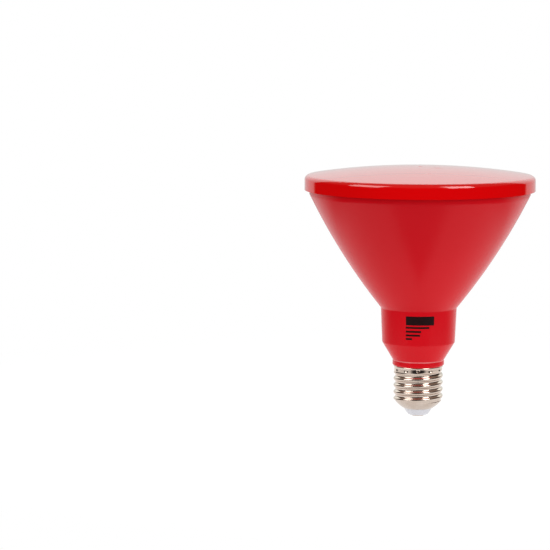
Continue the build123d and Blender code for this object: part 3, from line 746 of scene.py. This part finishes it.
# %% Paper: places on it
PAPER_NEAR, PAPER_FAR = 120.0, 320.0
paper = bpy.data.materials.new("white paper floor")
paper.use_nodes = True
sheet = paper.node_tree
sheet.nodes.clear()
on_paper = add_node(sheet, "ShaderNodeTexCoord").outputs["Object"]
spot = add_node(sheet, "ShaderNodeSeparateXYZ", [on_paper])
reach = add_node(sheet, "ShaderNodeVectorMath", [on_paper], operation="LENGTH")
far = add_node(
    sheet, "ShaderNodeMapRange", [reach, PAPER_NEAR * MM, PAPER_FAR * MM], interpolation_type="SMOOTHSTEP"
)
print("paper goes from near to far between", PAPER_NEAR, "and", PAPER_FAR, "mm from the axis")

# %% [markdown]
# Soft light that the paper sends up is what fills the underside of the cone. It is bright near the lamp and
# weaker further out, and a little stronger on the right, where the stronger softbox stands.

# %% Paper: the light it sends up
SENT_NEAR, SENT_FAR, SENT_LEFT, SENT_RIGHT, SENT_HALF = 1.3, 0.3, 0.8, 1.2, 200.0
falloff = add_node(sheet, "ShaderNodeMapRange", [far, 0.0, 1.0, SENT_NEAR, SENT_FAR])
aslant = add_node(
    sheet, "ShaderNodeMapRange", [spot.outputs["X"], -SENT_HALF * MM, SENT_HALF * MM, SENT_LEFT, SENT_RIGHT]
)
sent = add_node(sheet, "ShaderNodeMath", [falloff, aslant], operation="MULTIPLY")
bounce = add_node(sheet, "ShaderNodeEmission", [WHITE, sent])
print("light sent up:", SENT_NEAR, "near the lamp,", SENT_FAR, "far out")

# %% [markdown]
# In reflections the paper is dark in a wedge towards the camera and far from the lamp. This gives the
# bright metal a dark middle, without which the thread would look flat, and it keeps the front of the
# housing deep red. The wedge starts in front of the lamp's axis and opens evenly: a place is in it where
# its distance aside is a small share of its distance ahead of the wedge's tip. Right under the lamp the
# paper is a little dimmer, and beyond a bright circle it is dark, except behind the lamp.

# %% Paper: what polished faces mirror
WEDGE_TIP, WEDGE_DARK, WEDGE_CLEAR, WEDGE_LOW, WEDGE_HIGH = 50.0, 0.65, 1.35, 0.03, 1.17
UNDER_START, UNDER_END, UNDER_LEVEL = 12.0, 45.0, 0.84
CIRCLE_START, CIRCLE_END, DUSK, DUSK_END = 178.0, 215.0, 0.04, 150.0
aside = add_node(sheet, "ShaderNodeMath", [spot.outputs["X"]], operation="ABSOLUTE")
past_tip = add_node(sheet, "ShaderNodeMath", [-WEDGE_TIP * MM, spot.outputs["Y"]], operation="SUBTRACT")
ahead = add_node(sheet, "ShaderNodeMath", [past_tip, TINY], operation="MAXIMUM")
share = add_node(sheet, "ShaderNodeMath", [aside, ahead], operation="DIVIDE")
wedge = add_node(
    sheet, "ShaderNodeMapRange", [share, WEDGE_DARK, WEDGE_CLEAR, WEDGE_LOW, WEDGE_HIGH],
    interpolation_type="SMOOTHSTEP",
)
# Painted shadow: right under the lamp the mirrored paper is dimmed, standing in for the lamp's own shadow.
painted_shadow_under = add_node(sheet, "ShaderNodeMapRange", [reach, UNDER_START * MM, UNDER_END * MM, UNDER_LEVEL, 1.0])
outside = add_node(
    sheet, "ShaderNodeMapRange", [reach, CIRCLE_START * MM, CIRCLE_END * MM], interpolation_type="SMOOTHSTEP"
)
dusk = add_node(sheet, "ShaderNodeMapRange", [spot.outputs["Y"], 0.0, DUSK_END * MM, DUSK, 1.0])
circle = add_node(sheet, "ShaderNodeMix", [outside, 1.0, dusk])
in_circle = add_node(sheet, "ShaderNodeMath", [wedge, circle], operation="MULTIPLY")
mirror_level = add_node(sheet, "ShaderNodeMath", [in_circle, painted_shadow_under], operation="MULTIPLY")
mirrored = add_node(sheet, "ShaderNodeEmission", [WHITE, mirror_level])
print("mirrored paper: dark wedge from", WEDGE_TIP, "mm ahead, bright circle up to", CIRCLE_START, "mm")

# %% [markdown]
# For the camera the paper runs out into pure white, and the lamp's shadow on it is held back to a faint
# one: only a fifth of what the camera sees near the lamp is paper that takes light and shadow, and the rest
# is an even glow.

# %% Paper: what the camera sees, and the floor
MATT_SHARE, GLOW, FLOOR_HALF = 0.2, 1.18, 500.0
matt = add_node(sheet, "ShaderNodeBsdfDiffuse", [linear("#F0F0F0")])
bright = add_node(sheet, "ShaderNodeEmission", [WHITE, GLOW])
white = add_node(sheet, "ShaderNodeEmission", [WHITE, 1.0])
shaded = add_node(sheet, "ShaderNodeMixShader", [MATT_SHARE, bright, matt])
shown = add_node(sheet, "ShaderNodeMixShader", [far, shaded, white])
asks = add_node(sheet, "ShaderNodeLightPath")
unseen = add_node(sheet, "ShaderNodeMixShader", [asks.outputs["Is Glossy Ray"], bounce, mirrored])
either = add_node(sheet, "ShaderNodeMixShader", [asks.outputs["Is Camera Ray"], unseen, shown])
add_node(sheet, "ShaderNodeOutputMaterial", {"Surface": either})

floor_mesh = bpy.data.meshes.new("floor")
floor_corners = np.array([(-1, -1, 0), (1, -1, 0), (1, 1, 0), (-1, 1, 0)]) * FLOOR_HALF * MM
floor_mesh.from_pydata(floor_corners.tolist(), [], [(0, 1, 2, 3)])
floor_mesh.materials.append(paper)
floor = bpy.data.objects.new("floor", floor_mesh)
bpy.context.scene.collection.objects.link(floor)
print("floor:", floor.name, "with", len(sheet.nodes), "nodes in its paper")

# %% [markdown]
# The world stands for the rest of the room, and it is a pattern of directions. The camera sees plain white.
# Reflections see a dark room with a bright backdrop behind the lamp, whose edge bends over the top as a
# hung sheet does, and a pale ceiling. Soft light comes from low down only, which leaves the shading from
# above to the softboxes.

# %% Room: backdrop, ceiling and soft light
BEND, BACKDROP_START, BACKDROP_FULL, ROOM_LEVEL, BACKDROP_LEVEL = 0.6, 0.6, 0.68, 0.03, 0.92
HIGHER_END, HIGHER_LOW, HIGHER_TOP = 0.4, 0.9, 1.6
CEILING_START, CEILING_FULL, CEILING_LEVEL = 0.25, 0.6, 0.24
FILL_END, FILL_LEVEL = 0.7, 0.55
world = bpy.data.worlds.new("studio")
bpy.context.scene.world = world
world.use_nodes = True
room = world.node_tree
room.nodes.clear()
way = add_node(room, "ShaderNodeSeparateXYZ", [add_node(room, "ShaderNodeTexCoord").outputs["Generated"]])
up = way.outputs["Z"]
raised = add_node(room, "ShaderNodeMath", [up, 0.0], operation="MAXIMUM")
left_over = add_node(room, "ShaderNodeMath", [1.0, raised], operation="SUBTRACT")
hump = add_node(room, "ShaderNodeMath", [raised, left_over], operation="MULTIPLY")
back = add_node(room, "ShaderNodeMath", [hump, BEND, way.outputs["Y"]], operation="MULTIPLY_ADD")
behind = add_node(
    room, "ShaderNodeMapRange", [back, BACKDROP_START, BACKDROP_FULL, ROOM_LEVEL, BACKDROP_LEVEL],
    interpolation_type="SMOOTHSTEP",
)
higher = add_node(room, "ShaderNodeMapRange", [up, 0.0, HIGHER_END, HIGHER_LOW, HIGHER_TOP])
hung = add_node(room, "ShaderNodeMath", [behind, higher], operation="MULTIPLY")
ceiling = add_node(room, "ShaderNodeMapRange", [up, CEILING_START, CEILING_FULL, 0.0, CEILING_LEVEL])
glow = add_node(room, "ShaderNodeMath", [hung, ceiling], operation="ADD")
fill = add_node(room, "ShaderNodeMapRange", [up, 0.0, FILL_END, FILL_LEVEL, 0.0])
print("room: backdrop", BACKDROP_LEVEL, "ceiling", CEILING_LEVEL, "soft light", FILL_LEVEL)

# %% [markdown]
# The Light Path node tells again who asks. Soft light gets the low fill, reflections get the backdrop and
# the ceiling, and the camera gets plain white. The dark room is a little warm in tone and the bright
# backdrop a little cold.

# %% Room: who sees what
rays = add_node(room, "ShaderNodeLightPath")
level = add_node(room, "ShaderNodeMix", [rays.outputs["Is Diffuse Ray"], glow, fill])
tint = add_node(room, "ShaderNodeMix", [behind, linear("#FFE2D0"), linear("#F4FFFF")], data_type="RGBA")
lit_room = add_node(room, "ShaderNodeBackground", [tint, level])
plain_white = add_node(room, "ShaderNodeBackground", [WHITE, 1.0])
seen = add_node(room, "ShaderNodeMixShader", [rays.outputs["Is Camera Ray"], lit_room, plain_white])
add_node(room, "ShaderNodeOutputWorld", {"Surface": seen})
print("studio:", world.name, "with", len(room.nodes), "nodes")

# %% [markdown]
# Each softbox is an area light that faces the lamp. Its place is given by the angle round the lamp, counted
# from the camera's side, by its distance and by its height. Two of them, high on both sides of the camera,
# give the rim its two bright streaks and leave the middle of the cone darker.

# %% Lights
LAMP_MIDDLE = Vector((0, 0, 0.09))


def softbox(name, azimuth, distance, height, width, tall, watts):
    """An area light in metres at an angle round the lamp, turned to face it."""
    data = bpy.data.lights.new(name, "AREA")
    data.shape, data.size, data.size_y, data.energy = "RECTANGLE", width, tall, watts
    light = bpy.data.objects.new(name, data)
    light.location = (distance * sin(radians(azimuth)), -distance * cos(radians(azimuth)), height)
    light.rotation_euler = (light.location - LAMP_MIDDLE).to_track_quat("Z", "Y").to_euler()
    light.visible_camera = False
    bpy.context.scene.collection.objects.link(light)


softbox("left", azimuth=-57, distance=0.9, height=0.66, width=0.64, tall=0.72, watts=4.9)
softbox("right", azimuth=42, distance=0.9, height=0.66, width=0.48, tall=0.72, watts=5.6)

# %% [markdown]
# The picture was taken with a long lens from about 1.3 m, a little above the lamp and turned to its left,
# so that the lamp stands in the right half of the frame. The lens could be shifted for that instead, but
# views from other sides would keep the shift, so the camera is turned.

# %% Camera
CAMERA_AWAY, CAMERA_UP = 1.3386, 0.2335
PITCH_DOWN, TURN_LEFT, ROLL, FOCAL_MM, SENSOR_MM = 6.755, 3.276, 0.1375, 165.87, 36.0
lens_data = bpy.data.cameras.new("camera")
lens_data.sensor_fit = "HORIZONTAL"
lens_data.sensor_width = SENSOR_MM
lens_data.lens = FOCAL_MM
camera = bpy.data.objects.new("camera", lens_data)
camera.location = (0, -CAMERA_AWAY, CAMERA_UP)
level_aim = Euler((radians(90 - PITCH_DOWN), 0, radians(TURN_LEFT))).to_matrix()
camera.rotation_euler = (level_aim @ Matrix.Rotation(radians(ROLL), 3, "Z")).to_euler()
bpy.context.scene.collection.objects.link(camera)
bpy.context.scene.camera = camera
bpy.context.scene.view_settings.view_transform = "Standard"
print("camera:", CAMERA_AWAY, "m away and", CAMERA_UP, "m up, with a lens of", FOCAL_MM, "mm")
